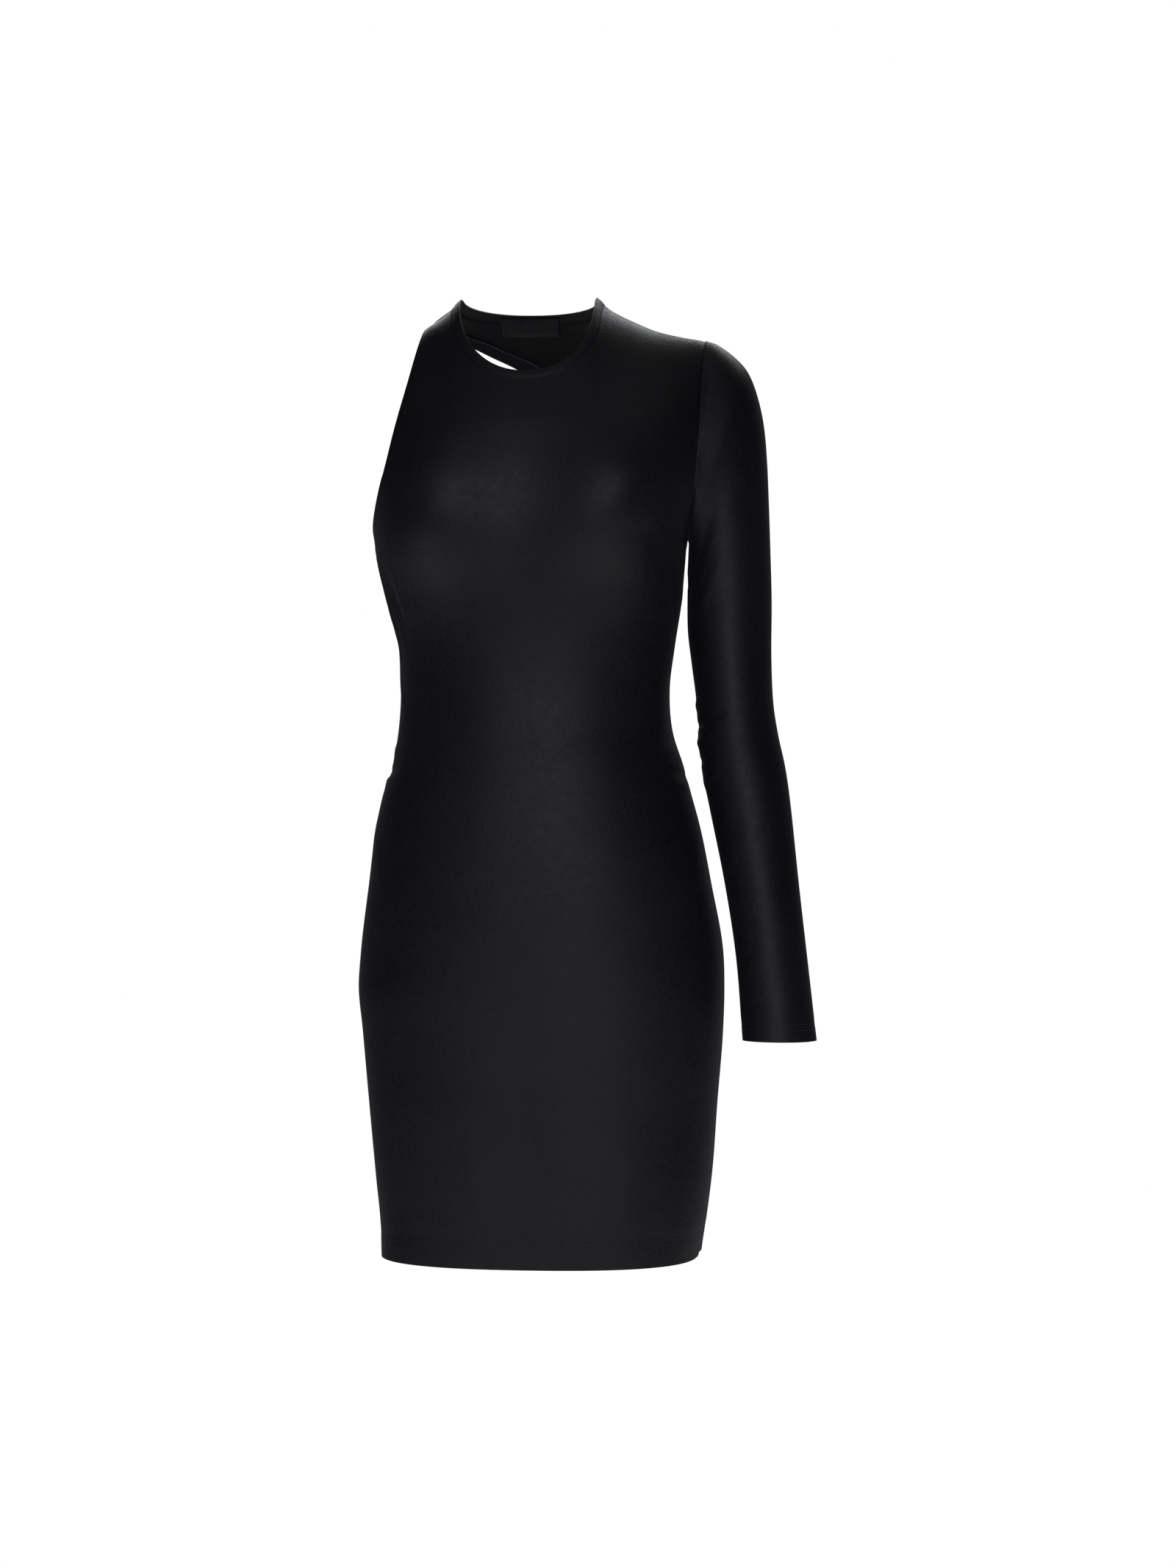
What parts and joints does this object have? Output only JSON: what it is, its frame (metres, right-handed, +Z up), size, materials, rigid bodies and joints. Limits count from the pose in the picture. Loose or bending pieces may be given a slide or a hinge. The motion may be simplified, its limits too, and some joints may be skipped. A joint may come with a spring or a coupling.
{
  "type": "one-sleeve mini dress",
  "caption": "Fitted stretch mini dress with a round neck, one long set-in sleeve, a bare armhole on the other side and a cut-away back, filled out as worn.",
  "frame": {"origin": "midway between the two shoulder neck points, in the plane of the shoulder and side seams, where the wearer's shoulders hold the dress up", "axes": "+Z up towards the neck, -Y out of the front, +X towards the wearer's left, the side with the sleeve"},
  "size_m": [0.3923, 0.2292, 0.8175],
  "materials": {
    "jersey": "fine stretch jersey with a soft satin gloss",
    "band": "doubled stretch jersey binding",
    "label": "woven satin label, bare"
  },
  "bodies": {
    "root": {"front_panel": "jersey", "back_panel": "jersey", "sleeve": "jersey", "neckband": "band", "cutout_hem": "jersey", "neck_label": "label"}
  },
  "joints": []
}
